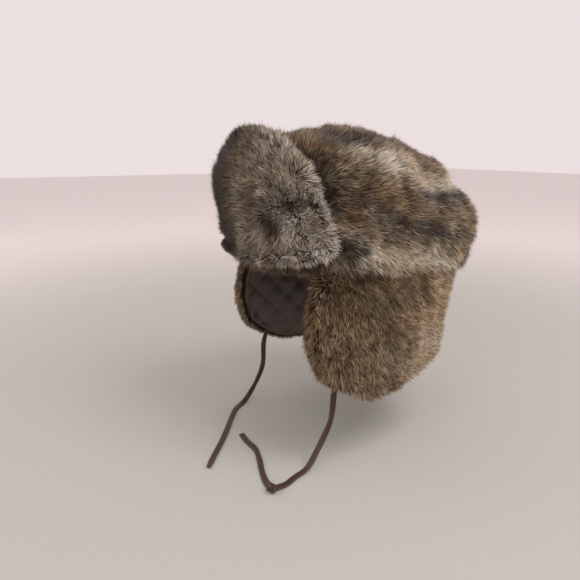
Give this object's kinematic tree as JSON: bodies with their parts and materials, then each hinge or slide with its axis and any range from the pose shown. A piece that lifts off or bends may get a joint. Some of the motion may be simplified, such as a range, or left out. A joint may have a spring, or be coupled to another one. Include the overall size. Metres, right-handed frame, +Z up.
{
  "type": "trapper hat",
  "caption": "Fur trapper hat: padded satin-lined crown with a sweatband, fold-down visor, hanging ear flaps and neck flap that fold up, and leather chin ties, one knotted.",
  "frame": {"origin": "middle of the head opening at the crown's lower edge, where a head holds the hat up", "axes": "+Z up through the crown, -Y to the front where the visor is, +X to the wearer's left"},
  "size_m": [0.2035, 0.3086, 0.3163],
  "materials": {
    "crown_fur": "rabbit pelt, brown guard hair banded with cream",
    "visor_fur": "rabbit pelt, silver-grey guard hair",
    "flap_fur": "rabbit pelt, dark brown guard hair tipped with tan",
    "neck_fur": "rabbit pelt, tan and grey guard hair",
    "satin_lining": "quilted satin",
    "ribbon": "ribbed grosgrain ribbon",
    "batting": "needled polyester wadding",
    "interfacing": "stiff woven interfacing",
    "leather_thong": "flat cut leather thong, worn edges",
    "waxed_thread": "waxed thread bar tack"
  },
  "bodies": {
    "crown": {"sweatband": "ribbon", "crown_lining_left": "satin_lining", "crown_lining_right": "satin_lining", "crown_lining_centre": "satin_lining", "crown_batting": "batting", "crown_fur_left": "crown_fur", "crown_fur_right": "crown_fur", "crown_fur_centre": "crown_fur"},
    "visor": {"visor_lining": "satin_lining", "visor_interfacing": "interfacing", "visor_fur": "visor_fur"},
    "left_ear_flap": {"left_ear_flap_fur": "flap_fur", "left_ear_flap_batting": "batting", "left_ear_flap_lining": "satin_lining", "left_tie_tack": "waxed_thread"},
    "right_ear_flap": {"right_ear_flap_fur": "flap_fur", "right_ear_flap_batting": "batting", "right_ear_flap_lining": "satin_lining", "right_tie_tack": "waxed_thread"},
    "neck_flap": {"neck_flap_fur": "neck_fur", "neck_flap_batting": "batting", "neck_flap_lining": "satin_lining"},
    "left_tie": {"left_tie": "leather_thong", "left_tie_knot": "leather_thong", "left_tie_tail": "leather_thong"},
    "right_tie": {"right_tie": "leather_thong"}
  },
  "joints": [
    {"name": "visor_fold", "type": "hinge", "parent": "crown", "child": "visor", "pos_m": [0, -0.1195, 0.014], "axis": [1, 0, 0], "range_deg": [0, 90]},
    {"name": "left_ear_flap_fold", "type": "hinge", "parent": "crown", "child": "left_ear_flap", "pos_m": [0.0995, 0, 0.00475], "axis": [0, -1, 0], "range_deg": [0, 150]},
    {"name": "right_ear_flap_fold", "type": "hinge", "parent": "crown", "child": "right_ear_flap", "pos_m": [-0.0995, 0, 0.00475], "axis": [0, 1, 0], "range_deg": [0, 150]},
    {"name": "neck_flap_fold", "type": "hinge", "parent": "crown", "child": "neck_flap", "pos_m": [0, 0.123, -0.003], "axis": [1, 0, 0], "range_deg": [0, 145]},
    {"name": "left_tie_hang", "type": "hinge", "parent": "left_ear_flap", "child": "left_tie", "pos_m": [0.07865, -0.06106, -0.10326], "axis": [0, -1, 0], "range_deg": [-150, 0]},
    {"name": "right_tie_hang", "type": "hinge", "parent": "right_ear_flap", "child": "right_tie", "pos_m": [-0.07865, -0.06106, -0.10326], "axis": [0, 1, 0], "range_deg": [-150, 0]}
  ],
  "couplings": [
    {"joint": "left_tie_hang", "follows": "left_ear_flap_fold", "ratio": -1},
    {"joint": "right_tie_hang", "follows": "right_ear_flap_fold", "ratio": -1}
  ]
}
